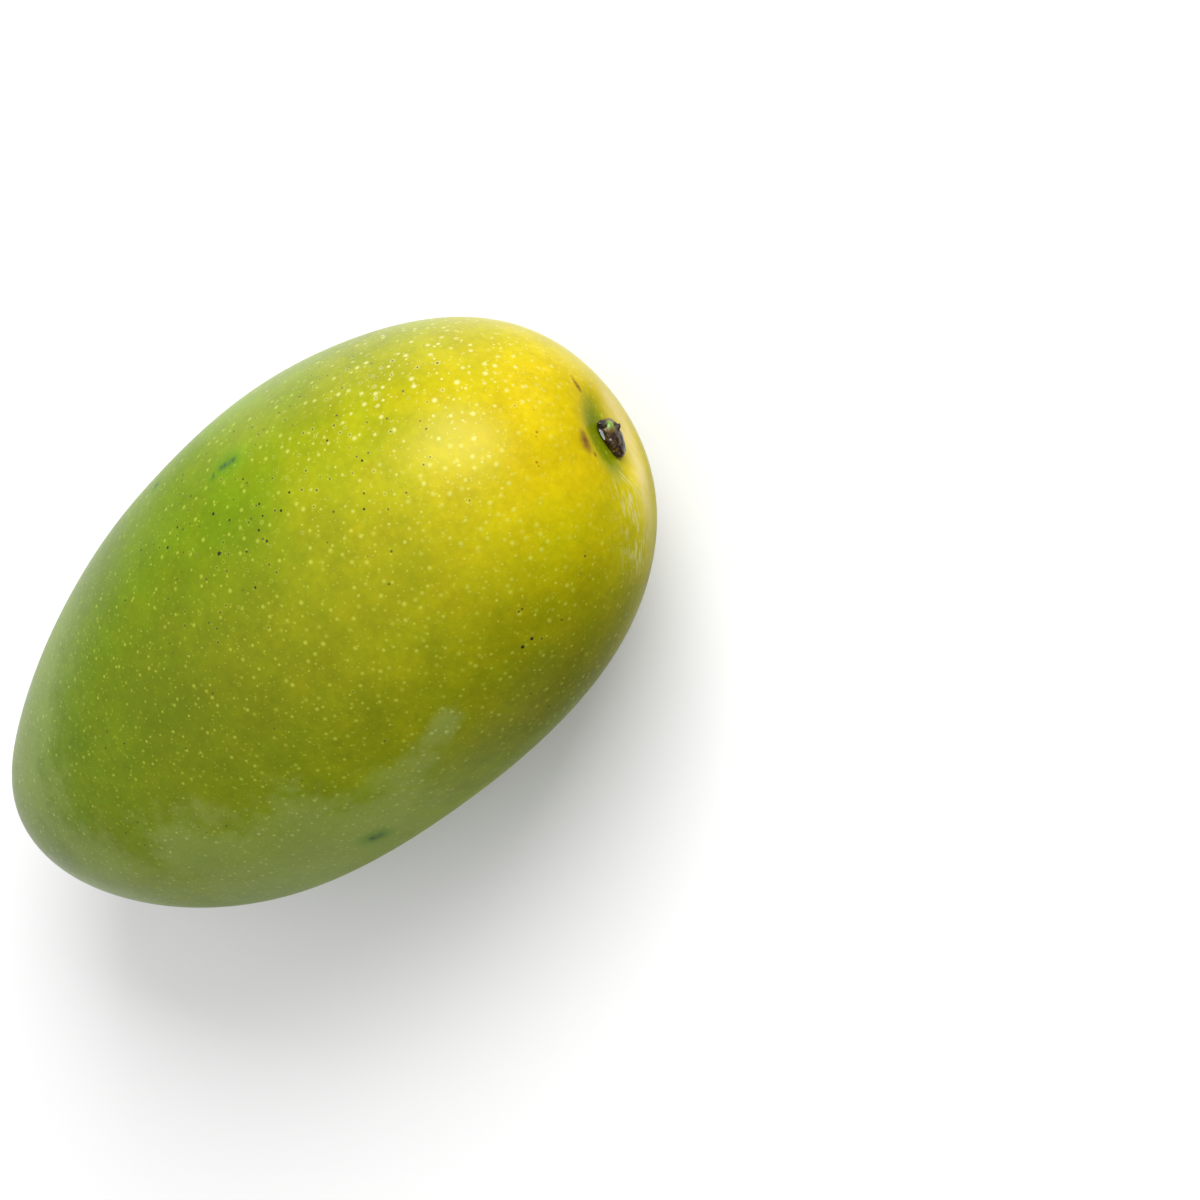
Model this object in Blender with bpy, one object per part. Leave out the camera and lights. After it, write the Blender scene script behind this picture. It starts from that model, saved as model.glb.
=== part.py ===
"""A mango as picked, lying on its side on a level surface, with the short stub of its stalk.

Metres, +Z up. The stem end points towards +X and the fuller, evenly curved back of the fruit
towards +Y. The origin is on the surface, under the middle of the fruit's bounding box.
"""

import math

import bmesh
import bpy
import numpy as np

# The fruit's main sizes, before the stem hollow is pressed in
HALF_LENGTH = 0.0700
HALF_WIDTH = 0.0395
HALF_THICKNESS = 0.0364
BLUNTNESS = 2.5
# How the girth changes from the far end (-1) to the stem end (+1): powers 1, 2 and 3
TAPER = (0.104, -0.160, 0.035)
# How the middle line sways sideways along the fruit: powers 2, 3 and 4, in half widths
SWAY = (-0.079, -0.065, 0.142)

# The stem hollow
STEM_DIRECTION = (0.985, -0.208, 0.052)
HOLLOW_DEPTH = 0.0021
HOLLOW_FLOOR_RADIUS = 0.0036
HOLLOW_RIM_RADIUS = 0.0115
GROOVE_DEPTH = 0.0007
GROOVE_HALF_WIDTH = 0.0022
GROOVE_LENGTH = 0.0150

# The stub of stalk: half length along the hollow, half width across it, and height
STUB_HALF_LENGTH = 0.0036
STUB_HALF_WIDTH = 0.0020
STUB_HEIGHT = 0.0023
STUB_BLUNTNESS = 2.6
STUB_TAPER = 0.22
SEAT_GAP = 0.0003
# Each knob on the stub: place along, across and above the hollow's floor, and radius
KNOBS = (
    (0.0030, 0.0013, 0.0012, 0.00080),
    (0.0013, -0.0004, 0.0025, 0.00080),
)

# How the fruit lies: stem end raised, rolled, and flattened where it touches the surface
REST_PITCH = math.radians(-2.8)
REST_ROLL = math.radians(3.1)
FLAT_DEPTH = 0.0005
MIDDLE = (-0.00037, 0.00013, 0.03633 - FLAT_DEPTH)

# How finely the surfaces are divided
FRUIT_SEGMENTS = 64
FRUIT_RINGS = 60
RING_CROWDING = 1.25
STUB_SEGMENTS = 28
STUB_RINGS = 18
KNOB_SEGMENTS = 14
KNOB_RINGS = 10


def clear_scene():
    for old in list(bpy.data.objects):
        bpy.data.objects.remove(old)


def new_collection(name, helpers=False):
    collection = bpy.data.collections.new(name)
    collection.hide_render = helpers
    bpy.context.scene.collection.children.link(collection)
    return collection


def unit(vector):
    vector = np.asarray(vector, float)
    return vector / np.linalg.norm(vector)


def smooth_step(low, high, value):
    t = np.clip((value - low) / (high - low), 0.0, 1.0)
    return t * t * (3.0 - 2.0 * t)


def plain_fruit(directions):
    """Points of the fruit's skin, without its hollow, for directions from its middle."""
    along = directions[:, 0]
    round_ = np.hypot(directions[:, 1], directions[:, 2])
    reach = (np.abs(along) ** BLUNTNESS + round_**BLUNTNESS) ** (-1.0 / BLUNTNESS)
    x, y, z = (directions * reach[:, None]).T
    girth = 1.0 + TAPER[0] * x + TAPER[1] * x**2 + TAPER[2] * x**3
    sway = SWAY[0] * x**2 + SWAY[1] * x**3 + SWAY[2] * x**4
    return np.column_stack((
        HALF_LENGTH * x,
        HALF_WIDTH * (y * girth + sway),
        HALF_THICKNESS * z * girth,
    ))


def hollow_frame():
    """The hollow's middle and its three axes: along it (towards +Y), across it, and outwards."""
    middle = unit(STEM_DIRECTION)
    side = unit(np.cross((0.0, 0.0, 1.0), middle))
    over = np.cross(middle, side)
    step = 1e-3
    nearby = [middle, middle + step * side, middle + step * over]
    spots = plain_fruit(np.array([unit(direction) for direction in nearby]))
    outward = unit(np.cross(spots[1] - spots[0], spots[2] - spots[0]))
    along = unit(np.array((0.0, 1.0, 0.0)) - outward[1] * outward)
    across = np.cross(outward, along)
    return spots[0], along, across, outward


def press_hollow(points):
    """Sinks the skin round the stem to a level floor, and the groove that runs from it."""
    middle, along, across, outward = hollow_frame()
    offset = points - middle
    u = offset @ along
    v = offset @ across
    height = offset @ outward
    near = np.hypot(u, v)
    facing = height > -0.02
    weight = np.where(facing, 1.0 - smooth_step(HOLLOW_FLOOR_RADIUS, HOLLOW_RIM_RADIUS, near), 0.0)
    sunk = height + weight * (-HOLLOW_DEPTH - height)
    run = smooth_step(HOLLOW_FLOOR_RADIUS, 2.0 * HOLLOW_FLOOR_RADIUS, -u)
    run = run * (1.0 - smooth_step(0.5 * GROOVE_LENGTH, GROOVE_LENGTH, -u))
    groove = np.where(facing, GROOVE_DEPTH * run * np.exp(-((v / GROOVE_HALF_WIDTH) ** 2)), 0.0)
    return points + np.outer(sunk - groove - height, outward)


def settle(points):
    """Turns and lifts points of the fruit's own frame to how it lies."""
    turn = np.array((
        (math.cos(REST_PITCH), 0.0, math.sin(REST_PITCH)),
        (0.0, 1.0, 0.0),
        (-math.sin(REST_PITCH), 0.0, math.cos(REST_PITCH)),
    ))
    roll = np.array((
        (1.0, 0.0, 0.0),
        (0.0, math.cos(REST_ROLL), -math.sin(REST_ROLL)),
        (0.0, math.sin(REST_ROLL), math.cos(REST_ROLL)),
    ))
    return points @ turn.T @ roll.T + np.array(MIDDLE)


def sphere_directions(mesh):
    mesh.verts.ensure_lookup_table()
    return np.array([vertex.co[:] for vertex in mesh.verts])


def move_vertices(mesh, points):
    for vertex, point in zip(mesh.verts, points):
        vertex.co = point.tolist()


def stem_centred_directions(directions):
    """Turns a sphere's pole to the stem and draws its rings closer together there."""
    polar = np.arccos(np.clip(directions[:, 2], -1.0, 1.0))
    turn = np.arctan2(directions[:, 1], directions[:, 0])
    polar = math.pi * (polar / math.pi) ** RING_CROWDING
    pole = unit(STEM_DIRECTION)
    side = unit(np.cross((0.0, 0.0, 1.0), pole))
    over = np.cross(pole, side)
    ring = np.outer(np.cos(turn), side) + np.outer(np.sin(turn), over)
    return np.cos(polar)[:, None] * pole + np.sin(polar)[:, None] * ring


def finished(mesh, name, collection):
    bmesh.ops.recalc_face_normals(mesh, faces=mesh.faces)
    data = bpy.data.meshes.new(name)
    mesh.to_mesh(data)
    mesh.free()
    data.shade_smooth()
    solid = bpy.data.objects.new(name, data)
    collection.objects.link(solid)
    return solid


def coat(solid, name, colour, roughness):
    material = bpy.data.materials.new(name)
    material.use_nodes = True
    shader = material.node_tree.nodes["Principled BSDF"]
    shader.inputs["Base Color"].default_value = (*colour, 1.0)
    shader.inputs["Roughness"].default_value = roughness
    shader.inputs["Metallic"].default_value = 0.0
    material.diffuse_color = (*colour, 1.0)
    solid.data.materials.clear()
    solid.data.materials.append(material)


def build_fruit(collection):
    mesh = bmesh.new()
    bmesh.ops.create_uvsphere(mesh, u_segments=FRUIT_SEGMENTS, v_segments=FRUIT_RINGS, radius=1.0)
    directions = stem_centred_directions(sphere_directions(mesh))
    points = settle(press_hollow(plain_fruit(directions)))
    points[:, 2] = np.maximum(points[:, 2], 0.0)
    move_vertices(mesh, points)
    fruit = finished(mesh, "fruit", collection)
    coat(fruit, "mango skin", (0.40, 0.43, 0.02), 0.35)
    return fruit


def stub_points(directions):
    """A low stub, wider and higher towards its cut end, with a level base on its seat."""
    reach = (np.abs(directions) ** STUB_BLUNTNESS).sum(axis=1) ** (-1.0 / STUB_BLUNTNESS)
    x, y, z = (directions * reach[:, None]).T
    swell = 1.0 + STUB_TAPER * x
    base = SEAT_GAP
    return np.column_stack((
        STUB_HALF_LENGTH * x,
        STUB_HALF_WIDTH * y * swell,
        base + np.maximum(STUB_HEIGHT * z * swell, 0.0),
    ))


def on_hollow_floor(local):
    """Points given along, across and above the hollow's floor, in the settled fruit's frame."""
    middle, along, across, outward = hollow_frame()
    floor = middle - HOLLOW_DEPTH * outward
    return settle(floor + local @ np.array((along, across, outward)))


def stub_solid(collection):
    mesh = bmesh.new()
    bmesh.ops.create_uvsphere(mesh, u_segments=STUB_SEGMENTS, v_segments=STUB_RINGS, radius=1.0)
    move_vertices(mesh, on_hollow_floor(stub_points(sphere_directions(mesh))))
    return finished(mesh, "stem", collection)


def knob_solid(number, place, helpers):
    mesh = bmesh.new()
    bmesh.ops.create_uvsphere(mesh, u_segments=KNOB_SEGMENTS, v_segments=KNOB_RINGS, radius=place[3])
    points = sphere_directions(mesh) + np.array(place[:3])
    move_vertices(mesh, on_hollow_floor(points))
    knob = finished(mesh, f"knob_{number}", helpers)
    knob.display_type = "WIRE"
    knob.hide_render = True
    return knob


def build_stem(collection, helpers):
    stem = stub_solid(collection)
    knobs = [knob_solid(number, place, helpers) for number, place in enumerate(KNOBS)]
    join = stem.modifiers.new("join knobs", "BOOLEAN")
    join.operand_type = "COLLECTION"
    join.collection = helpers
    join.operation = "UNION"
    join.solver = "EXACT"
    bpy.context.view_layer.objects.active = stem
    bpy.ops.object.modifier_apply(modifier=join.name)
    for knob in knobs:
        bpy.data.objects.remove(knob)
    stem.data.shade_smooth()
    coat(stem, "dry stalk", (0.060, 0.028, 0.010), 0.40)
    return stem


def build_mango():
    clear_scene()
    collection = new_collection("mango")
    helpers = new_collection("helpers", helpers=True)
    build_fruit(collection)
    build_stem(collection, helpers)


build_mango()
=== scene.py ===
"""The looks of a mango lying on its side: finer skin, its dots and marks, and the cut stalk."""

import math

import bmesh
import bpy
import numpy as np
from mathutils import Matrix, Vector, noise

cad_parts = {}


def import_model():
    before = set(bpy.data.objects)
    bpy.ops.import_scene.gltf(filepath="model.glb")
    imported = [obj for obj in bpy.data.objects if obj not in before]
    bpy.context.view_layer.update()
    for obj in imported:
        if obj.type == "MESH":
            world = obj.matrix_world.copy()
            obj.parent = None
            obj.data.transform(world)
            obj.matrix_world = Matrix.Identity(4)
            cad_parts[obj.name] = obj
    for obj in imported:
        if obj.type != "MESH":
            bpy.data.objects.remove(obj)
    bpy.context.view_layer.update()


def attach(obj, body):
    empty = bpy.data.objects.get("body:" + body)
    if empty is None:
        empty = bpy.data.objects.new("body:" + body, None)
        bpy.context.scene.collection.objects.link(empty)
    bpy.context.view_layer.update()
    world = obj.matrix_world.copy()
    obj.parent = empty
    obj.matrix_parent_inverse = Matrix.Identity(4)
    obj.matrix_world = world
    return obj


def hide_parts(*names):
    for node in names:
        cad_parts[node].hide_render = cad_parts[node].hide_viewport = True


# The fruit's form, with the same values as the solids
HALF_LENGTH = 0.0700
HALF_WIDTH = 0.0395
HALF_THICKNESS = 0.0364
BLUNTNESS = 2.5
TAPER = (0.104, -0.160, 0.035)
SWAY = (-0.079, -0.065, 0.142)
STEM_DIRECTION = (0.985, -0.208, 0.052)
HOLLOW_DEPTH = 0.0021
HOLLOW_FLOOR_RADIUS = 0.0036
HOLLOW_RIM_RADIUS = 0.0115
GROOVE_DEPTH = 0.0007
GROOVE_HALF_WIDTH = 0.0022
GROOVE_LENGTH = 0.0150
REST_PITCH = math.radians(-2.8)
REST_ROLL = math.radians(3.1)
MIDDLE = (-0.00037, 0.00013, 0.03583)
RING_CROWDING = 1.25
# How deep the skin's gentle unevenness is
SKIN_WAVE = 0.00006

# How finely the dressed skin is divided
SKIN_SEGMENTS = 320
SKIN_RINGS = 250

# The stub of stalk: half length along the hollow, half width across it, and height
STUB_HALF_LENGTH = 0.0036
STUB_HALF_WIDTH = 0.0020
STUB_HEIGHT = 0.0023
STUB_BLUNTNESS = 2.6
STUB_TAPER = 0.22
SEAT_GAP = 0.0003
# Each knob on the stub: place along, across and above the hollow's floor, and radius
KNOBS = (
    (0.0030, 0.0013, 0.0012, 0.00080),
    (0.0013, -0.0004, 0.0025, 0.00080),
)
# How finely the stub is divided: segments and rings of its body and knobs, and its voxels
STUB_DIVISIONS = (64, 40)
KNOB_DIVISIONS = (28, 18)
STUB_VOXEL = 0.00009
# How far the stub's rough surface may lie under and over its plain form
STUB_LIFT_LIMITS = (-0.00026, 0.00003)
# The green cut on the stub: its middle along, across and above the hollow's floor, and how
# far it reaches each way, in millimetres
CUT_PLACE = (2.2, 0.9, 2.1)
CUT_REACH = (1.1, 1.0, 0.9)
# Painted highlight on the stub's left edge, as pale spots: place along, across and above the
# hollow's floor, and reach, in millimetres
PAINTED_GLINT_SPOTS = (
    (2.3, 2.1, 0.7, 0.34),
    (1.9, 2.1, 0.7, 0.36),
    (1.5, 2.1, 0.6, 0.36),
    (1.1, 2.0, 0.5, 0.34),
    (0.8, 2.0, 0.4, 0.28),
    (3.5, 2.0, 1.4, 0.24),
    (0.1, 1.8, 1.3, 0.16),
)

# Light: how bright the surroundings are at the horizon and overhead, by how large a share
# they brighten towards +Y, and the key light's power in watts, place, aim and size
HORIZON = 0.12
OVERHEAD = 1.27
SIDE_SHARE = 0.55
KEY_POWER = 10.5
KEY_PLACE = (0.594, 0.396, 0.58)
KEY_AIM = (0.0, 0.0, 0.04)
KEY_SIZE = (0.56, 0.44)

# The floor's half width and how much light it gives back
FLOOR_HALF_WIDTH = 10.0
FLOOR_WHITENESS = 0.76

# The camera: lens and sensor in millimetres, how steeply it looks down, how far it is turned
# about its view, its distance, and how far it stands to the right of the fruit's middle and up
LENS = 85.0
SENSOR = 36.0
CAMERA_ELEVATION = math.radians(68.0)
CAMERA_ROLL = math.radians(-130.04)
CAMERA_DISTANCE = 0.5
CAMERA_RIGHT = 0.050223
CAMERA_UP = 0.006232

# How much wider than its dark core a speck shows, with its soft edge
SPECK_SPREAD = 1.18

# Small dark specks that can be told apart: place and radius in millimetres
SPECKS = (
    (23.2, 20.3, 67.5, 0.24),
    (22.8, 18.4, 68.6, 0.22),
    (21.0, 17.0, 69.4, 0.26),
    (21.3, 14.7, 70.3, 0.26),
    (17.2, 15.7, 70.2, 0.24),
    (12.5, 18.6, 69.0, 0.42),
    (14.6, 24.5, 65.5, 0.34),
    (6.7, 27.2, 63.2, 0.26),
    (3.4, 25.7, 64.2, 0.34),
    (17.0, 21.7, 67.2, 0.24),
    (26.1, 17.0, 68.9, 0.28),
    (28.8, 18.4, 67.8, 0.24),
    (22.2, 25.5, 64.1, 0.22),
    (-2.6, 28.9, 60.8, 0.24),
    (-9.4, 24.0, 63.9, 0.22),
    (15.1, 10.2, 71.9, 0.24),
    (38.2, 20.9, 64.0, 0.24),
    (41.7, 14.4, 66.4, 0.24),
    (39.3, 10.1, 68.8, 0.22),
    (37.9, 8.1, 69.6, 0.24),
    (41.8, -25.1, 60.4, 0.34),
    (39.9, -25.2, 61.1, 0.36),
    (33.3, -32.0, 55.8, 0.24),
    (-25.1, 5.8, 67.8, 0.22),
    (-21.5, -16.0, 65.6, 0.20),
)

# Brown rubs and scars: place, radius and strength
SCARS = (
    (69.3, 4.0, 40.8, 0.55, 0.55),
    (69.4, 3.3, 41.2, 0.70, 0.75),
    (69.4, 2.7, 41.4, 0.85, 0.90),
    (69.3, 2.0, 41.6, 1.05, 1.00),
    (69.2, 1.4, 41.7, 0.90, 0.80),
    (67.3, -5.1, 49.1, 1.70, 0.75),
    (67.1, -5.9, 49.5, 2.10, 1.00),
    (66.9, -6.7, 49.8, 1.90, 0.90),
    (66.7, -7.4, 49.9, 1.40, 0.60),
    (66.6, -8.7, 48.9, 0.75, 0.90),
)

# Small brown freckles: place and radius
FRECKLES = (
    (64.0, -0.1, 56.1, 0.38),
    (63.6, -0.6, 56.6, 0.22),
    (61.6, -3.9, 58.6, 0.40),
    (61.4, -4.6, 58.6, 0.26),
    (62.0, -3.0, 58.5, 0.24),
    (65.2, 3.0, 54.0, 0.20),
)

# Skin colours from green to yellow, with how ripe each is on a scale from 0 to 1
RIPE_COLOURS = (
    (0.12, (0.108, 0.176, 0.001)),
    (0.33, (0.140, 0.178, 0.001)),
    (0.50, (0.203, 0.213, 0.001)),
    (0.67, (0.285, 0.248, 0.001)),
    (0.84, (0.325, 0.250, 0.001)),
)

# Blue-green bruises: place and radius, and how many times wider their green halos are
HALO_SPREAD = 3.0
BRUISES = (
    (18.7, 29.9, 60.5, 0.95),
    (19.6, 29.8, 60.5, 1.10),
    (20.5, 29.6, 60.6, 1.15),
    (21.4, 29.4, 60.6, 0.95),
    (16.7, 29.6, 60.9, 0.60),
    (2.2, 36.6, 50.4, 0.90),
    (-8.1, -33.7, 52.9, 1.50),
    (-7.2, -34.0, 52.6, 1.40),
)

# How ripe the skin is in the middle, how much riper it gets towards the stem end, the front
# and both ends, how much greener along the sides, and how much riper towards the stem end's
# back and the far end's front
RIPE_MIDDLE = 0.37
RIPER_TO_STEM = 0.33
RIPER_TO_FRONT = 0.11
RIPER_ENDS = 0.055
GREENER_SIDES = 0.22
RIPER_SLANT = 0.08
# Where the skin is riper or greener than that: place, reach and amount
RIPE_SPOTS = (
    (66.0, 0.0, 50.0, 13.0, 0.25),
    (18.0, 20.0, 68.0, 10.0, -0.22),
    (-4.0, 29.0, 60.0, 11.0, -0.06),
    (20.6, 29.4, 60.7, 3.5, -0.16),
)
# How much greener the underside is
UNDERSIDE_GREEN = 0.10

# Painted light and shade: how much lighter or darker the skin is painted than its ripeness makes
# it, in the middle, how much lighter at the stem end, the far end and the sides, how much less the
# sides gain towards the stem end, how much lighter towards the front and on the slant, and the limits
# of it all
PAINTED_LIGHT_MIDDLE = -0.11
LIGHTER_STEM_END = 0.35
LIGHTER_FAR_END = 0.21
LIGHTER_SIDES = 0.38
SIDES_LESS_TO_STEM = 0.30
LIGHTER_TO_FRONT = 0.08
LIGHTER_SLANT = 0.43
PAINTED_LIGHT_LIMITS = (-0.45, 0.32)
# Where more painted light or shade lies on the skin: place, reach and amount
PAINTED_LIGHT_SPOTS = (
    (38.0, -38.0, 46.0, 15.0, -0.33),
    (-6.0, 0.0, 72.0, 15.0, -0.14),
    (4.0, -30.0, 60.0, 10.0, 0.20),
    (46.0, 28.0, 48.0, 16.0, -0.20),
    (-62.0, 4.0, 50.0, 14.0, -0.12),
    (66.0, -22.0, 40.0, 12.0, 0.36),
    (62.0, 12.0, 50.0, 16.0, 0.07),
    (44.0, 0.0, 66.0, 16.0, 0.05),
    (28.0, 24.0, 62.0, 15.0, 0.08),
    (-10.0, 36.0, 48.0, 14.0, -0.14),
    (-44.0, -22.0, 44.0, 14.0, -0.16),
    (56.0, 9.0, 61.0, 8.0, -0.14),
    (63.0, 18.0, 50.0, 9.0, -0.20),
    (57.0, -11.0, 61.0, 7.0, 0.18),
    (68.0, -2.0, 49.0, 5.0, -0.14),
)

# Where the skin has lost its gloss: place, reach and strength
DULL_SPOTS = (
    (62.0, -24.0, 42.0, 24.0, 1.0),
    (28.0, -40.0, 36.0, 30.0, 1.0),
    (-14.0, -38.0, 36.0, 26.0, 0.9),
    (70.0, -4.0, 44.0, 9.0, 1.0),
    (-46.0, -20.0, 42.0, 17.0, 0.8),
    (66.0, 12.0, 44.0, 10.0, 0.6),
    (12.0, 33.0, 56.0, 18.0, 0.55),
    (-6.0, 38.0, 44.0, 26.0, 0.45),
)

# Where the thin waxy bloom is left, partly a painted reflection of the pale floor and
# surroundings: place, reach and strength
BLOOM_AND_REFLECTION_SPOTS = (
    (-26.0, -25.0, 55.0, 20.0, 0.95),
    (-4.0, -36.0, 50.0, 16.0, 0.90),
    (22.6, -26.4, 63.6, 3.2, 0.95),
    (19.0, -27.4, 62.8, 3.0, 0.85),
    (14.0, -28.4, 62.0, 4.0, 0.60),
    (8.0, -28.5, 61.6, 5.0, 0.60),
    (-8.0, -23.0, 64.4, 6.0, 0.45),
    (-31.0, -12.5, 64.3, 8.0, 0.45),
    (-50.0, -7.5, 57.0, 8.0, 0.60),
    (-54.0, 12.0, 50.0, 17.0, 0.90),
    (-33.0, 29.0, 50.0, 13.0, 0.90),
    (-5.0, 38.0, 44.0, 14.0, 0.60),
    (20.0, 40.0, 40.0, 14.0, 0.60),
    (45.0, 34.0, 38.0, 12.0, 0.50),
    (0.0, 0.0, 0.0, 30.0, 0.50),
)

# Where the dots get a painted highlight, paler where the light falls, and where they are faint: place
# and reach
LIT_DOTS = ((56.0, 20.0, 52.0), 22.0)
FAINT_DOTS = ((66.0, -7.0, 52.0), 15.0)
# The scar of the flower: its direction from the fruit's middle, and its reach
TIP_DIRECTION = (-0.995, -0.09, -0.05)
TIP_REACH = 1.0

# The green oval round the stub, in millimetres along and across the hollow: the direction of
# its long axis, how far it lies to one side, and its half sizes
OVAL_AXIS = (0.88, -0.47)
OVAL_SHIFT = 2.3
OVAL_HALF_LENGTH = 10.4
OVAL_HALF_WIDTH = 6.2
# Skin lower than this under the hollow's middle, in millimetres, is away from the stem end
STEM_END_DEPTH = -20.0

# Colours of what lies on the skin
OVAL_GREEN = (0.185, 0.200, 0.001)
OVAL_DARK_GREEN = (0.080, 0.125, 0.001)
# Bloom, partly a painted reflection of the pale floor
BLOOM_AND_REFLECTION_COLOUR = (0.250, 0.320, 0.090)
# Streaks, partly fine striations and partly painted reflection
STREAK_REFLECTION_COLOUR = (0.480, 0.450, 0.190)
# Painted highlight of the band under the hollow
RIM_HIGHLIGHT_COLOUR = (0.500, 0.410, 0.170)
DOT_COLOUR = (0.410, 0.450, 0.050)
# Painted highlight on the dots where the light falls
LIT_DOT_COLOUR = (0.590, 0.560, 0.290)
BLOOM_AND_REFLECTION_DOT_COLOUR = (0.480, 0.520, 0.200)
PIN_COLOUR = (0.035, 0.036, 0.008)
HALO_GREEN = (0.060, 0.165, 0.001)
BRUISE_COLOUR = (0.028, 0.066, 0.030)
FRECKLE_BROWN = (0.200, 0.080, 0.004)
SCAR_BROWN = (0.130, 0.065, 0.010)
SPECK_COLOUR = (0.012, 0.022, 0.006)
TIP_BROWN = (0.060, 0.040, 0.015)

# Colours of the stub
# Painted shade on the stub's shaded side
STUB_PAINTED_SHADE = (0.004, 0.003, 0.002)
KNOB_COLOUR = (0.006, 0.004, 0.002)
CUT_EDGE_COLOUR = (0.150, 0.100, 0.006)
CUT_GREEN = (0.100, 0.220, 0.004)
# Painted highlight on the stub
PAINTED_GLINT_COLOUR = (0.270, 0.320, 0.340)
WOOD_COLOURS = (
    (0.30, (0.004, 0.002, 0.001)),
    (0.50, (0.018, 0.007, 0.002)),
    (0.60, (0.060, 0.026, 0.004)),
    (0.74, (0.240, 0.140, 0.016)),
)

# The skin's bending of light, the tint of its gloss, and how strong that gloss is where the
# skin is glossy and where it is dull
SKIN_IOR = 1.33
GLOSS_TINT = (1.0, 0.95, 0.42)
GLOSS = 0.5
DULL_GLOSS = 0.03
STUB_IOR = 1.45
# How deep the bumps of the two materials are
SKIN_RELIEF = 0.00008
STUB_RELIEF = 0.00012


def unit(vector):
    vector = np.asarray(vector, float)
    return vector / np.linalg.norm(vector)


def smooth_step(low, high, value):
    t = np.clip((value - low) / (high - low), 0.0, 1.0)
    return t * t * (3.0 - 2.0 * t)


# The fruit's form


def plain_fruit(directions):
    """Points of the fruit's skin, without its hollow, for directions from its middle."""
    along = directions[:, 0]
    round_ = np.hypot(directions[:, 1], directions[:, 2])
    reach = (np.abs(along) ** BLUNTNESS + round_**BLUNTNESS) ** (-1.0 / BLUNTNESS)
    x, y, z = (directions * reach[:, None]).T
    girth = 1.0 + TAPER[0] * x + TAPER[1] * x**2 + TAPER[2] * x**3
    sway = SWAY[0] * x**2 + SWAY[1] * x**3 + SWAY[2] * x**4
    return np.column_stack((
        HALF_LENGTH * x,
        HALF_WIDTH * (y * girth + sway),
        HALF_THICKNESS * z * girth,
    ))


def hollow_frame():
    """The hollow's middle and its three axes: along it (towards +Y), across it, and outwards."""
    middle = unit(STEM_DIRECTION)
    side = unit(np.cross((0.0, 0.0, 1.0), middle))
    over = np.cross(middle, side)
    step = 1e-3
    nearby = [middle, middle + step * side, middle + step * over]
    spots = plain_fruit(np.array([unit(direction) for direction in nearby]))
    outward = unit(np.cross(spots[1] - spots[0], spots[2] - spots[0]))
    along = unit(np.array((0.0, 1.0, 0.0)) - outward[1] * outward)
    across = np.cross(outward, along)
    return spots[0], along, across, outward


def hollow_places(points):
    """How far points lie along, across and above the hollow's undisturbed middle."""
    middle, along, across, outward = hollow_frame()
    offset = points - middle
    return offset @ along, offset @ across, offset @ outward


def press_hollow(points):
    """Sinks the skin round the stem to a level floor, and the groove that runs from it."""
    outward = hollow_frame()[3]
    u, v, height = hollow_places(points)
    near = np.hypot(u, v)
    facing = height > -0.02
    weight = np.where(facing, 1.0 - smooth_step(HOLLOW_FLOOR_RADIUS, HOLLOW_RIM_RADIUS, near), 0.0)
    sunk = height + weight * (-HOLLOW_DEPTH - height)
    run = smooth_step(HOLLOW_FLOOR_RADIUS, 2.0 * HOLLOW_FLOOR_RADIUS, -u)
    run = run * (1.0 - smooth_step(0.5 * GROOVE_LENGTH, GROOVE_LENGTH, -u))
    groove = np.where(facing, GROOVE_DEPTH * run * np.exp(-((v / GROOVE_HALF_WIDTH) ** 2)), 0.0)
    return points + np.outer(sunk - groove - height, outward)


def settle(points):
    """Turns and lifts points of the fruit's own frame to how it lies."""
    turn = np.array((
        (math.cos(REST_PITCH), 0.0, math.sin(REST_PITCH)),
        (0.0, 1.0, 0.0),
        (-math.sin(REST_PITCH), 0.0, math.cos(REST_PITCH)),
    ))
    roll = np.array((
        (1.0, 0.0, 0.0),
        (0.0, math.cos(REST_ROLL), -math.sin(REST_ROLL)),
        (0.0, math.sin(REST_ROLL), math.cos(REST_ROLL)),
    ))
    return points @ turn.T @ roll.T + np.array(MIDDLE)


def sphere_directions(mesh):
    mesh.verts.ensure_lookup_table()
    return np.array([vertex.co[:] for vertex in mesh.verts])


def stem_centred_directions(directions):
    """Turns a sphere's pole to the stem and draws its rings closer together there."""
    polar = np.arccos(np.clip(directions[:, 2], -1.0, 1.0))
    turn = np.arctan2(directions[:, 1], directions[:, 0])
    polar = math.pi * (polar / math.pi) ** RING_CROWDING
    pole = unit(STEM_DIRECTION)
    side = unit(np.cross((0.0, 0.0, 1.0), pole))
    over = np.cross(pole, side)
    ring = np.outer(np.cos(turn), side) + np.outer(np.sin(turn), over)
    return np.cos(polar)[:, None] * pole + np.sin(polar)[:, None] * ring


def undulation(points):
    """How far the skin dips, so that it is gently uneven and keeps within the solid."""
    x, y, z = (points * 1000.0).T
    wave = np.sin(x / 9.0 + 0.7 * np.sin(y / 13.0)) * np.sin(y / 8.0 + z / 11.0 + 1.3)
    wave = wave + 0.6 * np.sin(x / 5.3 + z / 6.1) * np.sin(y / 4.7 - 0.4)
    return SKIN_WAVE * (1.6 + wave)


# Meshes


def move_vertices(mesh, points):
    for vertex, point in zip(mesh.verts, points):
        vertex.co = point.tolist()


def mesh_object(mesh, name):
    bmesh.ops.recalc_face_normals(mesh, faces=mesh.faces)
    data = bpy.data.meshes.new(name)
    mesh.to_mesh(data)
    mesh.free()
    data.shade_smooth()
    made = bpy.data.objects.new(name, data)
    bpy.context.scene.collection.objects.link(made)
    return made


def paint(made, name, values):
    """Stores one number, or one place, for each vertex, for the material to read."""
    values = np.asarray(values, np.float32)
    kind, part = ("FLOAT", "value") if values.ndim == 1 else ("FLOAT_VECTOR", "vector")
    layer = made.data.attributes.new(name, kind, "POINT")
    layer.data.foreach_set(part, values.ravel())


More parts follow.
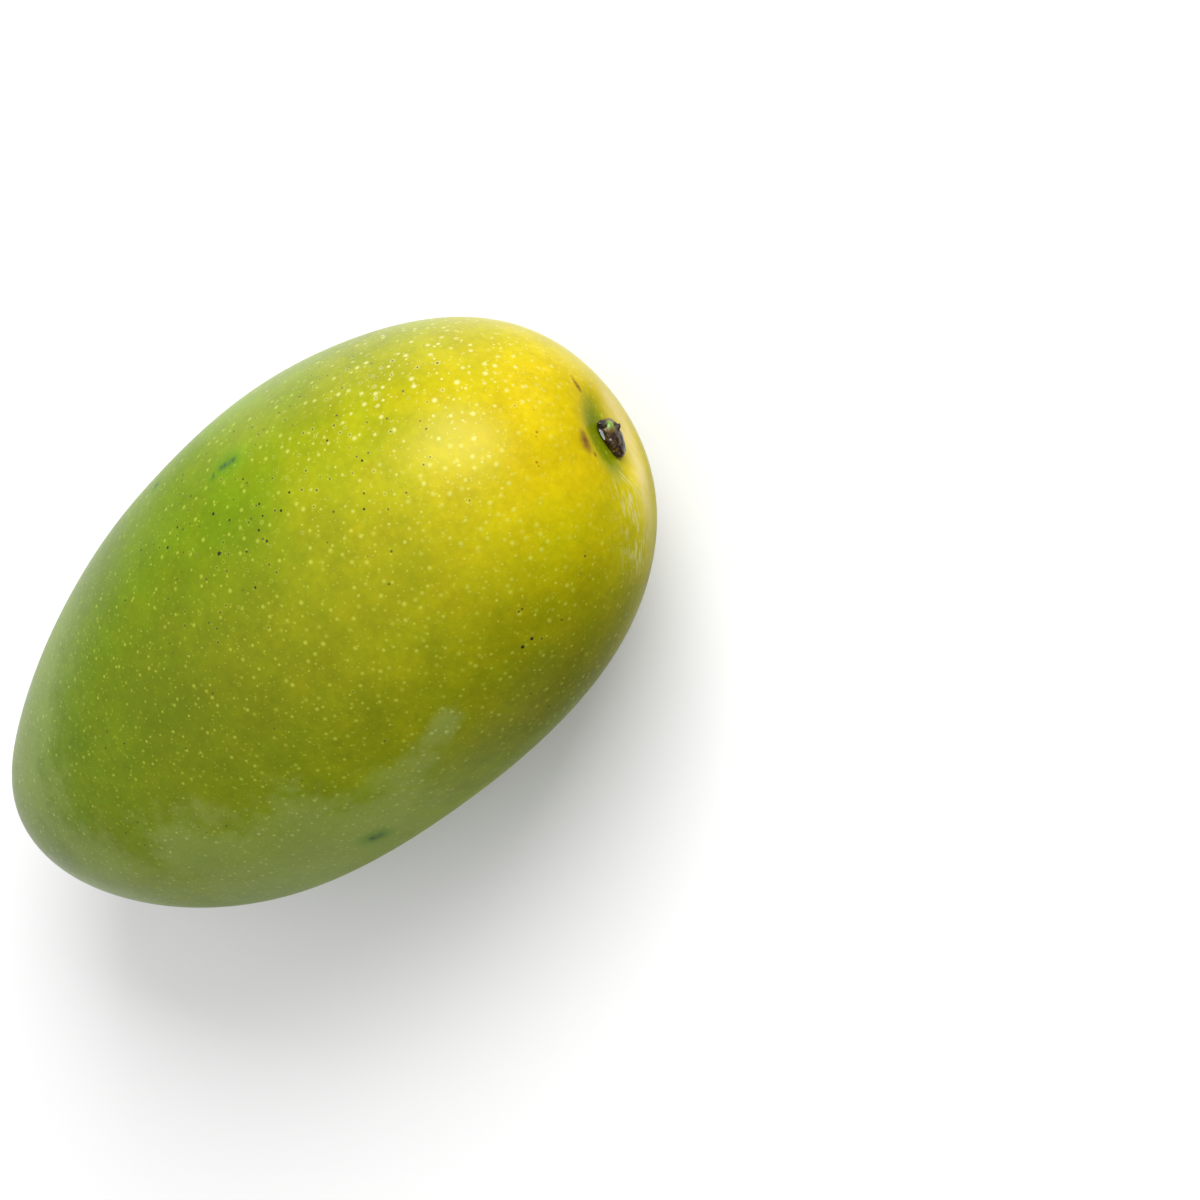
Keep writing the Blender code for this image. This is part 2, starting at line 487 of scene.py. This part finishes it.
def bump_mask(points, centre, reach):
    """1 at centre (millimetres), falling off smoothly with distance over reach."""
    distance = np.linalg.norm(points * 1000.0 - np.array(centre), axis=1)
    return np.exp(-((distance / reach) ** 2))


def summed(points, spots):
    """The sum of soft spots, each given by its place, reach and strength."""
    total = np.zeros(len(points))
    for x, y, z, reach, strength in spots:
        total = total + strength * bump_mask(points, (x, y, z), reach)
    return total


def in_half_sizes(settled):
    """How far points lie along and across the fruit, as shares of its half sizes."""
    return settled[:, 0] / HALF_LENGTH, settled[:, 1] / HALF_WIDTH


def paint_skin(skin, own, settled):
    """Broad fields over the skin: ripeness, painted light and shade, bloom with painted reflection,
    dot size, and the painted highlights by the stem.
    """
    x, y = (settled * 1000.0).T[:2]
    u, v, height = (1000.0 * field for field in hollow_places(own))
    paint(skin, "ripe", ripeness(settled))
    # The tone field is painted light and shade over the skin
    paint(skin, "tone_and_painted_light", tone_and_painted_light(settled))
    paint(skin, "bloom_and_painted_reflection", summed(settled, BLOOM_AND_REFLECTION_SPOTS))
    paint(skin, "dull", dull_share(settled))
    paint(skin, "pinned", smooth_step(-12, 8, x) * smooth_step(0, 16, y) * smooth_step(66, 48, x))
    paint(skin, "fine", 1.0 - smooth_step(-30, 25, x))
    paint(skin, "hollow", hollow_tint(u, v, height))
    paint(skin, "rim_highlight", rim_highlight_band(u, v, height))
    paint(skin, "streaky_reflection", streaky_reflection_tract(u, v, height))
    paint(skin, "stem_place", np.column_stack((0.30 * u, v, 0.30 * height)))
    paint(skin, "lit_dots", bump_mask(settled, *LIT_DOTS))
    paint(skin, "faint_dots", bump_mask(settled, *FAINT_DOTS))
    paint(skin, "tip", bump_mask(settled, tip_place(), TIP_REACH))


def hollow_tint(u, v, height):
    """Greener skin in and beside the stem hollow, in an oval set askew."""
    long_way = OVAL_AXIS[0] * u + OVAL_AXIS[1] * v
    short_way = OVAL_AXIS[0] * v - OVAL_AXIS[1] * u - OVAL_SHIFT
    reach = np.hypot(long_way / OVAL_HALF_LENGTH, short_way / OVAL_HALF_WIDTH)
    share = 1.0 - smooth_step(0.25, 1.15, reach)
    return np.where(height > STEM_END_DEPTH, share, 0.0)


def rim_highlight_band(u, v, height):
    """A painted highlight: a pale band along the underside of the hollow."""
    middle = -7.6 + 6.3 * smooth_step(3.0, -14.0, u)
    share = np.exp(-(((v - middle) / 2.4) ** 2))
    share = share * smooth_step(10.0, 4.0, u) * smooth_step(-24.0, -9.0, u)
    return np.where(height > STEM_END_DEPTH, share, 0.0)


def streaky_reflection_tract(u, v, height):
    """Where pale streaks run away from the hollow's groove: partly fine striations, partly painted
    reflection.
    """
    share = smooth_step(-4.0, -7.0, u) * smooth_step(-25.0, -16.0, u)
    share = share * np.exp(-(((v - 4.2) / 3.8) ** 2))
    return np.where(height > STEM_END_DEPTH, share, 0.0)


def ripeness(settled):
    """From 0 where the skin is green to 1 where it is yellow."""
    along, across = in_half_sizes(settled)
    ripe = RIPE_MIDDLE + RIPER_TO_STEM * along - RIPER_TO_FRONT * across
    ripe = ripe + RIPER_ENDS * along**2 - GREENER_SIDES * across**2
    ripe = ripe + RIPER_SLANT * along * across + summed(settled, RIPE_SPOTS)
    return ripe - UNDERSIDE_GREEN * smooth_step(30, 5, settled[:, 2] * 1000.0)


def tone_and_painted_light(settled):
    """Painted light and shade: how much lighter or darker the skin is painted than its ripeness alone
    would make it.
    """
    along, across = in_half_sizes(settled)
    ends = np.where(along > 0.0, LIGHTER_STEM_END, LIGHTER_FAR_END) * along**2
    sides = (LIGHTER_SIDES - SIDES_LESS_TO_STEM * along) * across**2
    change = PAINTED_LIGHT_MIDDLE + ends + sides - LIGHTER_TO_FRONT * across
    change = change + LIGHTER_SLANT * along * across
    return np.exp(np.clip(change, *PAINTED_LIGHT_LIMITS) + summed(settled, PAINTED_LIGHT_SPOTS))


def dull_share(settled):
    """Where the skin has lost its gloss: in the hollow and along both sides."""
    return np.minimum(summed(settled, DULL_SPOTS), 1.0)


def tip_place():
    """Where the scar of the flower sits, at the far end, in millimetres."""
    spot = plain_fruit(np.array([unit(TIP_DIRECTION)]))
    return settle(spot)[0] * 1000.0


def build_skin():
    mesh = bmesh.new()
    bmesh.ops.create_uvsphere(mesh, u_segments=SKIN_SEGMENTS, v_segments=SKIN_RINGS, radius=1.0)
    directions = stem_centred_directions(sphere_directions(mesh))
    own = plain_fruit(directions)
    outward = directions * np.array((0.6, 1.0, 1.0))
    settled = settle(press_hollow(own) - outward * undulation(own)[:, None])
    settled[:, 2] = np.maximum(settled[:, 2], 0.0)
    move_vertices(mesh, settled)
    skin = mesh_object(mesh, "mango_skin")
    paint_skin(skin, own, settled)
    return skin


def stub_points(directions):
    """A low stub, wider and higher towards its cut end, with a level base on its seat."""
    reach = (np.abs(directions) ** STUB_BLUNTNESS).sum(axis=1) ** (-1.0 / STUB_BLUNTNESS)
    x, y, z = (directions * reach[:, None]).T
    swell = 1.0 + STUB_TAPER * x
    return np.column_stack((
        STUB_HALF_LENGTH * x,
        STUB_HALF_WIDTH * y * swell,
        SEAT_GAP + np.maximum(STUB_HEIGHT * z * swell, 0.0),
    ))


def on_hollow_floor(local):
    """Points given along, across and above the hollow's floor, in the settled fruit's frame."""
    middle, along, across, outward = hollow_frame()
    floor = middle - HOLLOW_DEPTH * outward
    return settle(floor + local @ np.array((along, across, outward)))


def add_ball(mesh, points_of, segments, rings):
    """Adds a ball to mesh, its vertices placed by points_of."""
    ball = bmesh.ops.create_uvsphere(mesh, u_segments=segments, v_segments=rings, radius=1.0)
    directions = np.array([vertex.co[:] for vertex in ball["verts"]])
    for vertex, point in zip(ball["verts"], points_of(directions)):
        vertex.co = point.tolist()


def fused(made, voxel):
    """One skin over the overlapping balls."""
    remesh = made.modifiers.new("fuse", "REMESH")
    remesh.mode = "VOXEL"
    remesh.voxel_size = voxel
    smooth = made.modifiers.new("smooth", "SMOOTH")
    smooth.iterations = 4
    bpy.context.view_layer.objects.active = made
    bpy.ops.object.modifier_apply(modifier=remesh.name)
    bpy.ops.object.modifier_apply(modifier=smooth.name)


def near_knob(local, knob):
    """1 on a knob, falling off just outside it."""
    reach = np.linalg.norm(local - np.array(knob[:3]), axis=1) / knob[3]
    return smooth_step(1.45, 1.12, reach)


def knob_points(knob):
    """The function that places a ball's vertices on a knob."""
    return lambda directions: directions * knob[3] + np.array(knob[:3])


def noise_at(places, fineness):
    """Smooth noise from -1 to 1, at places multiplied by fineness along each axis."""
    return np.array([noise.noise(Vector(place)) for place in places * np.array(fineness)])


def roughened(plain, normals, on_knob):
    """The stub's points moved in and out, so that it is rough, ridged and crumbled on its knobs."""
    rough = noise_at(plain, (900.0, 900.0, 900.0))
    ridges = noise_at(plain, (500.0, 1900.0, 1900.0))
    crumble = noise_at(plain, (2100.0, 2100.0, 2100.0))
    lift = 0.00012 * rough + 0.00012 * ridges - 0.00006 + 0.00030 * on_knob * (crumble - 0.25)
    above_seat = smooth_step(SEAT_GAP, SEAT_GAP + 0.0004, plain[:, 2])
    return plain + normals * (np.clip(lift, *STUB_LIFT_LIMITS) * above_seat)[:, None]


def paint_stub(stub, local, on_knob):
    """Fields of the cut, the painted highlight, the painted shade on one side and the knobs over the
    stub.
    """
    u, v = (local * 1000.0).T[:2]
    off_cut = (local * 1000.0 - np.array(CUT_PLACE)) / np.array(CUT_REACH)
    paint(stub, "cut", np.exp(-(off_cut**2).sum(axis=1)))
    paint(stub, "painted_glint", np.max([bump_mask(local, spot[:3], spot[3]) for spot in PAINTED_GLINT_SPOTS], axis=0))
    paint(stub, "shaded", smooth_step(1.4, -0.4, v) * smooth_step(2.2, 0.4, u))
    paint(stub, "knob", on_knob)


def build_stub():
    mesh = bmesh.new()
    add_ball(mesh, stub_points, *STUB_DIVISIONS)
    for knob in KNOBS:
        add_ball(mesh, knob_points(knob), *KNOB_DIVISIONS)
    stub = mesh_object(mesh, "stalk_stub")
    fused(stub, STUB_VOXEL)
    plain = np.array([vertex.co[:] for vertex in stub.data.vertices])
    normals = np.array([vertex.normal[:] for vertex in stub.data.vertices])
    on_knob = np.maximum(*(near_knob(plain, knob) for knob in KNOBS))
    local = roughened(plain, normals, on_knob)
    for vertex, point in zip(stub.data.vertices, on_hollow_floor(local)):
        vertex.co = point.tolist()
    paint_stub(stub, local, on_knob)
    stub.data.shade_smooth()
    return stub


# Materials


class Graph:
    """Adds shader nodes to a material and joins them."""

    def __init__(self, name):
        self.material = bpy.data.materials.new(name)
        self.material.use_nodes = True
        self.tree = self.material.node_tree
        self.shader = self.tree.nodes["Principled BSDF"]

    def add(self, kind, **settings):
        made = self.tree.nodes.new(kind)
        for key, value in settings.items():
            setattr(made, key, value)
        return made

    def feed(self, socket, value):
        if isinstance(value, bpy.types.NodeSocket):
            self.tree.links.new(value, socket)
        else:
            socket.default_value = value

    def math(self, operation, first, second=0.0):
        made = self.add("ShaderNodeMath", operation=operation)
        self.feed(made.inputs[0], first)
        self.feed(made.inputs[1], second)
        return made.outputs[0]

    def blend(self, factor, first, second, how="MIX"):
        made = self.add("ShaderNodeMix", data_type="RGBA", blend_type=how)
        self.feed(made.inputs[0], factor)
        self.feed(made.inputs[6], first)
        self.feed(made.inputs[7], second)
        return made.outputs[2]

    def step(self, value, low, high, to_low=0.0, to_high=1.0):
        made = self.add("ShaderNodeMapRange", interpolation_type="SMOOTHSTEP")
        self.feed(made.inputs[0], value)
        for number, limit in enumerate((low, high, to_low, to_high), 1):
            self.feed(made.inputs[number], limit)
        return made.outputs[0]

    def place(self):
        """Places on the object in millimetres."""
        where = self.add("ShaderNodeTexCoord").outputs["Object"]
        return self.vector("MULTIPLY", where, (1000.0, 1000.0, 1000.0)).outputs[0]

    def noise(self, where, width, detail=2.0, rough=0.5):
        made = self.add("ShaderNodeTexNoise")
        self.feed(made.inputs["Vector"], where)
        made.inputs["Scale"].default_value = 1.0 / width
        made.inputs["Detail"].default_value = detail
        made.inputs["Roughness"].default_value = rough
        return made.outputs[0]

    def cells(self, where, width):
        """Scattered points a width apart, all round the surface.

        Gives the distance to the nearest one along the surface, its depth, in millimetres,
        and three random numbers of its own.
        """
        made = self.add("ShaderNodeTexVoronoi", feature="F1")
        self.feed(made.inputs["Vector"], where)
        made.inputs["Scale"].default_value = 1.0 / width
        away = self.vector("SUBTRACT", where, made.outputs["Position"]).outputs[0]
        normal = self.add("ShaderNodeTexCoord").outputs["Normal"]
        depth = self.math("ABSOLUTE", self.vector("DOT_PRODUCT", away, normal).outputs["Value"])
        reach = self.vector("LENGTH", away).outputs["Value"]
        square = self.math("SUBTRACT", self.math("POWER", reach, 2.0), self.math("POWER", depth, 2.0))
        parts = self.add("ShaderNodeSeparateColor")
        self.feed(parts.inputs[0], made.outputs["Color"])
        return self.math("SQRT", self.math("MAXIMUM", square, 0.0)), depth, parts.outputs

    def vector(self, operation, first, second=None):
        made = self.add("ShaderNodeVectorMath", operation=operation)
        self.feed(made.inputs[0], first)
        if second is not None:
            self.feed(made.inputs[1], second)
        return made

    def field(self, name, part="Fac"):
        return self.add("ShaderNodeAttribute", attribute_name=name).outputs[part]

    def ramp(self, value, stops):
        made = self.add("ShaderNodeValToRGB")
        made.color_ramp.interpolation = "LINEAR"
        stop_list = made.color_ramp.elements
        while len(stop_list) < len(stops):
            stop_list.new(0.5)
        for stop, (position, shade) in zip(stop_list, stops):
            stop.position = position
            stop.color = (*shade, 1.0)
        self.feed(made.inputs[0], value)
        return made.outputs[0]

    def around(self, value, texture, spread):
        """value, made uneven by a texture that lies round one half."""
        uneven = self.math("MULTIPLY", self.math("SUBTRACT", texture, 0.5), spread)
        return self.math("ADD", value, uneven)

    def shaded(self, first, factor):
        """A colour made lighter or darker by a factor."""
        tone_and_painted_light = self.add("ShaderNodeCombineColor")
        for socket in tone_and_painted_light.inputs[:3]:
            self.feed(socket, factor)
        return self.blend(1.0, first, tone_and_painted_light.outputs[0], "MULTIPLY")

    def spot(self, where, centre, radius, soft=0.5):
        """1 inside a small ball round centre, with a soft edge."""
        away = self.vector("DISTANCE", where, centre).outputs["Value"]
        return self.step(away, radius * (1.0 - soft), radius, 1.0, 0.0)

    def cover(self, share, first, second):
        """first, covered by a share of the plain colour second."""
        return self.blend(share, first, (*second, 1.0))

    def bump(self, height, strength, depth):
        """Raises the surface by height, where 1 is depth in metres."""
        made = self.add("ShaderNodeBump")
        made.inputs["Strength"].default_value = strength
        made.inputs["Distance"].default_value = depth
        self.feed(made.inputs["Height"], height)
        self.feed(self.shader.inputs["Normal"], made.outputs[0])

    def greatest(self, values):
        total = values[0]
        for value in values[1:]:
            total = self.math("MAXIMUM", total, value)
        return total


def colour(red, green, blue):
    return (red, green, blue, 1.0)


def ground_colour(graph, where):
    """From green at the far end to yellow round the stem, clouded and mottled, under painted light
    and shade.
    """
    patch = graph.noise(where, 6.5, 3.0, 0.6)
    ripe = graph.around(graph.field("ripe"), graph.noise(where, 24.0, 3.0, 0.55), 0.22)
    ripe = graph.around(ripe, patch, 0.22)
    ripe = graph.around(ripe, graph.noise(where, 1.9, 2.0, 0.6), 0.09)
    cloud = graph.step(graph.noise(where, 9.0, 4.0, 0.6), 0.30, 0.70, 0.90, 1.08)
    # Painted light and shade from the tone field, made uneven by the cloud
    mottled_painted_light = graph.math("MULTIPLY", graph.field("tone_and_painted_light"), cloud)
    ground = graph.shaded(graph.ramp(ripe, RIPE_COLOURS), mottled_painted_light)
    hollow = graph.around(graph.field("hollow"), patch, 0.30)
    ground = graph.cover(graph.step(hollow, 0.0, 0.75, 0.0, 0.85), ground, OVAL_GREEN)
    return graph.cover(graph.step(hollow, 0.55, 1.10, 0.0, 0.70), ground, OVAL_DARK_GREEN)


def dots(graph, where):
    """Pale breathing dots in two sizes, and the dark pins in the middle of some."""
    fine = graph.field("fine")
    lit = graph.field("lit_dots")
    large, depth, seeds = graph.cells(where, 1.85)
    size = graph.step(seeds[0], 0.0, 1.0, 0.28, 0.61)
    size = graph.math("MULTIPLY", size, graph.step(fine, 0.0, 1.0, 1.0, 0.76))
    size = graph.math("MULTIPLY", size, graph.step(lit, 0.0, 1.0, 1.0, 1.12))
    near = graph.step(depth, 0.52, 0.66, 1.0, 0.0)
    large_dots = graph.step(graph.math("DIVIDE", large, size), 0.05, 1.0, 1.0, 0.0)
    large_dots = graph.math("MULTIPLY", large_dots, graph.step(seeds[1], 0.0, 1.0, 0.45, 1.0))
    large_dots = graph.math("MULTIPLY", large_dots, near)
    small, small_depth, small_seeds = graph.cells(where, 1.25)
    small_size = graph.step(small_seeds[0], 0.0, 1.0, 0.15, 0.30)
    small_dots = graph.step(graph.math("DIVIDE", small, small_size), 0.05, 1.0, 0.50, 0.0)
    small_dots = graph.math("MULTIPLY", small_dots, graph.step(small_depth, 0.30, 0.40, 1.0, 0.0))
    pale = graph.math("MAXIMUM", large_dots, small_dots)
    wanted = graph.math("ADD", graph.math("MULTIPLY", graph.field("pinned"), 0.46), 0.04)
    chosen = graph.math("MULTIPLY", graph.math("LESS_THAN", seeds[1], wanted), near)
    width = graph.step(seeds[2], 0.0, 1.0, 0.15, 0.33)
    pins = graph.step(graph.math("DIVIDE", large, width), 0.30, 1.0, 1.0, 0.0)
    return pale, graph.math("MULTIPLY", pins, chosen)


def marks(graph, where):
    """The placed specks, brown freckles, scars, and blue-green bruises with their green halos."""
    grain = graph.noise(where, 0.7, 2.0, 0.6)
    specks = graph.greatest([graph.spot(where, (x, y, z), SPECK_SPREAD * r) for x, y, z, r in SPECKS])
    freckles = graph.greatest([graph.spot(where, (x, y, z), r, 0.8) for x, y, z, r in FRECKLES])
    scars = graph.greatest([
        graph.math("MULTIPLY", graph.spot(where, (x, y, z), r, 0.9), strength)
        for x, y, z, r, strength in SCARS
    ])
    scars = graph.math("MULTIPLY", scars, graph.step(grain, 0.15, 0.50, 0.65, 1.0))
    bruises = graph.greatest([graph.spot(where, (x, y, z), r, 1.0) for x, y, z, r in BRUISES])
    halos = graph.greatest([
        graph.spot(where, (x, y, z), HALO_SPREAD * r, 1.0) for x, y, z, r in BRUISES
    ])
    patchy = graph.step(graph.noise(where, 1.1, 3.0, 0.6), 0.35, 0.62, 0.35, 1.0)
    bruises = graph.math("MULTIPLY", bruises, patchy)
    return specks, freckles, scars, bruises, halos


def bloom_and_reflection_cover(graph, where):
    """How much of the skin the waxy bloom covers, worn through in patches; the bloom is partly a
    painted reflection of the pale floor.
    """
    haze = graph.around(graph.field("bloom_and_painted_reflection"), graph.noise(where, 6.0, 4.0, 0.62), 1.3)
    haze = graph.around(haze, graph.noise(where, 2.0, 3.0, 0.6), 0.5)
    return graph.step(haze, 0.30, 1.00, 0.0, 0.40)


def stem_end_streaks_and_highlight(graph, where, painted):
    """Adds the pale streaks that run from the groove, partly fine striations and partly painted
    reflection, and the painted highlight of the band under the hollow.
    """
    streaks = graph.noise(graph.field("stem_place", "Vector"), 0.9, 3.0, 0.6)
    breaks = graph.step(graph.noise(where, 3.0, 2.0, 0.5), 0.35, 0.60)
    # Pale streaks, partly painted reflection
    streaky_reflection = graph.math("MULTIPLY", graph.field("streaky_reflection"), graph.step(streaks, 0.44, 0.62, 0.0, 0.9))
    streaky_reflection = graph.math("MULTIPLY", streaky_reflection, breaks)
    # Painted highlight: the pale band under the hollow
    rim_highlight = graph.math("MULTIPLY", graph.field("rim_highlight"), graph.step(streaks, 0.30, 0.60, 0.55, 1.0))
    painted = graph.cover(graph.math("MULTIPLY", streaky_reflection, 0.85), painted, STREAK_REFLECTION_COLOUR)
    return graph.cover(graph.math("MULTIPLY", rim_highlight, 0.90), painted, RIM_HIGHLIGHT_COLOUR)


def with_dots(graph, painted, pale, pins, bloom_and_painted_reflection):
    """Adds the dots, with a painted highlight making them paler where the light falls, paler in the
    bloom and its painted reflection, and faint by the stem.
    """
    lit = graph.field("lit_dots")
    # Painted highlight: the dots are paler and stronger where the light falls
    dot_colour = graph.blend(lit, colour(*DOT_COLOUR), colour(*LIT_DOT_COLOUR))
    dot_colour = graph.cover(graph.math("MULTIPLY", bloom_and_painted_reflection, 2.0), dot_colour, BLOOM_AND_REFLECTION_DOT_COLOUR)
    strong = graph.step(lit, 0.0, 1.0, 0.56, 0.72)
    faint = graph.step(graph.field("faint_dots"), 0.1, 0.9, 1.0, 0.35)
    strong = graph.math("MULTIPLY", strong, faint)
    painted = graph.blend(graph.math("MULTIPLY", pale, strong), painted, dot_colour)
    return graph.cover(graph.math("MULTIPLY", pins, 0.90), painted, PIN_COLOUR)


def skin_material():
    graph = Graph("mango_skin")
    where = graph.place()
    grain = graph.noise(where, 1.3, 3.0, 0.65)
    painted = graph.shaded(ground_colour(graph, where), graph.step(grain, 0.25, 0.75, 0.93, 1.07))
    bloom_and_painted_reflection = bloom_and_reflection_cover(graph, where)
    # The bloom, partly a painted reflection of the pale floor
    painted = graph.cover(bloom_and_painted_reflection, painted, BLOOM_AND_REFLECTION_COLOUR)
    painted = stem_end_streaks_and_highlight(graph, where, painted)
    pale, pins = dots(graph, where)
    painted = with_dots(graph, painted, pale, pins, bloom_and_painted_reflection)

    specks, freckles, scars, bruises, halos = marks(graph, where)
    painted = graph.cover(graph.math("MULTIPLY", halos, 0.70), painted, HALO_GREEN)
    painted = graph.cover(bruises, painted, BRUISE_COLOUR)
    painted = graph.cover(graph.math("MULTIPLY", freckles, 0.8), painted, FRECKLE_BROWN)
    painted = graph.cover(scars, painted, SCAR_BROWN)
    painted = graph.cover(specks, painted, SPECK_COLOUR)
    painted = graph.cover(graph.step(graph.field("tip"), 0.35, 0.85), painted, TIP_BROWN)
    graph.feed(graph.shader.inputs["Base Color"], painted)

    rough = graph.step(grain, 0.2, 0.8, 0.29, 0.37)
    rough = graph.math("ADD", rough, graph.math("MULTIPLY", bloom_and_painted_reflection, 0.25))
    graph.feed(graph.shader.inputs["Roughness"], rough)
    graph.shader.inputs["IOR"].default_value = SKIN_IOR
    graph.shader.inputs["Specular Tint"].default_value = colour(*GLOSS_TINT)
    gloss = graph.step(graph.field("dull"), 0.0, 1.0, GLOSS, DULL_GLOSS)
    graph.feed(graph.shader.inputs["Specular IOR Level"], gloss)
    graph.bump(skin_relief(graph, where, pale, specks), 0.70, SKIN_RELIEF)
    return graph.material


def skin_relief(graph, where, pale, specks):
    """Raised dots, sunk specks, a faint orange-peel grain and broad shallow dents."""
    peel = graph.noise(where, 0.9, 2.0, 0.5)
    dents = graph.noise(where, 5.5, 2.0, 0.5)
    height = graph.math("ADD", graph.math("MULTIPLY", pale, 0.50), graph.math("MULTIPLY", peel, 0.35))
    height = graph.math("ADD", height, graph.math("MULTIPLY", dents, 1.6))
    return graph.math("SUBTRACT", height, specks)


def stub_material():
    graph = Graph("stalk_stub")
    where = graph.place()
    grain = graph.noise(where, 0.55, 3.0, 0.65)
    coarse = graph.noise(where, 1.4, 2.0, 0.5)
    wood = graph.ramp(grain, WOOD_COLOURS)
    # Painted shade over the stub's shaded side
    painted_shade = graph.math("MULTIPLY", graph.field("shaded"), graph.step(coarse, 0.3, 0.6, 0.8, 1.0))
    wood = graph.cover(painted_shade, wood, STUB_PAINTED_SHADE)
    cut = graph.around(graph.field("cut"), grain, 0.5)
    wood = graph.cover(graph.step(cut, 0.02, 0.40, 0.0, 0.65), wood, CUT_EDGE_COLOUR)
    wood = graph.cover(graph.step(cut, 0.38, 0.75, 0.0, 0.9), wood, CUT_GREEN)
    on_knob = graph.field("knob")
    knob = graph.math("MULTIPLY", on_knob, graph.step(grain, 0.35, 0.70, 1.0, 0.55))
    wood = graph.cover(knob, wood, KNOB_COLOUR)
    # Pale painted highlight spots along the stub's left edge
    painted_glint = graph.step(graph.around(graph.field("painted_glint"), grain, 0.9), 0.35, 0.65, 0.0, 0.85)
    wood = graph.cover(painted_glint, wood, PAINTED_GLINT_COLOUR)
    graph.feed(graph.shader.inputs["Base Color"], wood)
    matt = graph.math("MULTIPLY", on_knob, 0.30)
    rough = graph.math("ADD", graph.step(coarse, 0.3, 0.7, 0.12, 0.28), matt)
    graph.feed(graph.shader.inputs["Roughness"], rough)
    graph.shader.inputs["IOR"].default_value = STUB_IOR
    graph.bump(grain, 0.8, STUB_RELIEF)
    return graph.material


def floor_material():
    graph = Graph("pale_floor")
    graph.shader.inputs["Base Color"].default_value = colour(*3 * (FLOOR_WHITENESS,))
    graph.shader.inputs["Roughness"].default_value = 0.85
    return graph.material


# Room, light and camera


def build_floor():
    mesh = bmesh.new()
    bmesh.ops.create_grid(mesh, x_segments=1, y_segments=1, size=FLOOR_HALF_WIDTH)
    floor = mesh_object(mesh, "floor")
    floor.data.materials.append(floor_material())


def build_world():
    """Surroundings that are bright overhead, dark at the horizon and brighter towards +Y."""
    world = bpy.data.worlds.new("studio")
    bpy.context.scene.world = world
    world.use_nodes = True
    nodes = world.node_tree.nodes
    links = world.node_tree.links
    back = nodes["Background"]
    back.inputs["Color"].default_value = colour(1.0, 1.0, 1.0)
    where = nodes.new("ShaderNodeTexCoord")
    parts = nodes.new("ShaderNodeSeparateXYZ")
    links.new(where.outputs["Generated"], parts.inputs[0])
    rise = nodes.new("ShaderNodeMapRange")
    links.new(parts.outputs["Z"], rise.inputs[0])
    for number, limit in enumerate((0.0, 1.0, HORIZON, OVERHEAD), 1):
        rise.inputs[number].default_value = limit
    side = nodes.new("ShaderNodeMapRange")
    links.new(parts.outputs["Y"], side.inputs[0])
    for number, limit in enumerate((-1.0, 1.0, 1.0 - SIDE_SHARE, 1.0 + SIDE_SHARE), 1):
        side.inputs[number].default_value = limit
    strength = nodes.new("ShaderNodeMath")
    strength.operation = "MULTIPLY"
    links.new(rise.outputs[0], strength.inputs[0])
    links.new(side.outputs[0], strength.inputs[1])
    links.new(strength.outputs[0], back.inputs["Strength"])


def soft_light(name, place, aim, size, power):
    lamp = bpy.data.lights.new(name, "AREA")
    lamp.shape = "RECTANGLE"
    lamp.size = size[0]
    lamp.size_y = size[1]
    lamp.energy = power
    made = bpy.data.objects.new(name, lamp)
    made.location = place
    made.rotation_euler = (Vector(aim) - Vector(place)).to_track_quat("-Z", "Y").to_euler()
    bpy.context.scene.collection.objects.link(made)


def build_lights():
    soft_light("key", KEY_PLACE, KEY_AIM, KEY_SIZE, KEY_POWER)


def build_camera():
    """Looks down on the fruit, turned so that the stem end lies up and to the right."""
    lens = bpy.data.cameras.new("camera")
    lens.lens = LENS
    lens.sensor_width = SENSOR
    lens.clip_start = 0.01
    camera = bpy.data.objects.new("camera", lens)
    back = Vector((math.cos(CAMERA_ELEVATION), 0.0, math.sin(CAMERA_ELEVATION)))
    level = Vector((0.0, 1.0, 0.0))
    rise = back.cross(level)
    right = math.cos(CAMERA_ROLL) * level + math.sin(CAMERA_ROLL) * rise
    up = math.cos(CAMERA_ROLL) * rise - math.sin(CAMERA_ROLL) * level
    place = Vector(MIDDLE) + CAMERA_DISTANCE * back + CAMERA_RIGHT * right + CAMERA_UP * up
    turn = Matrix((right, up, back)).transposed().to_4x4()
    camera.matrix_world = Matrix.Translation(place) @ turn
    bpy.context.scene.collection.objects.link(camera)
    bpy.context.scene.camera = camera


def plain_colours():
    bpy.context.scene.view_settings.view_transform = "Standard"
    bpy.context.scene.view_settings.look = "None"


def main():
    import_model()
    plain_colours()
    skin = build_skin()
    skin.data.materials.append(skin_material())
    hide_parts("fruit")
    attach(skin, "root")
    stub = build_stub()
    stub.data.materials.append(stub_material())
    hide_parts("stem")
    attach(stub, "root")
    build_floor()
    build_world()
    build_lights()
    build_camera()


main()
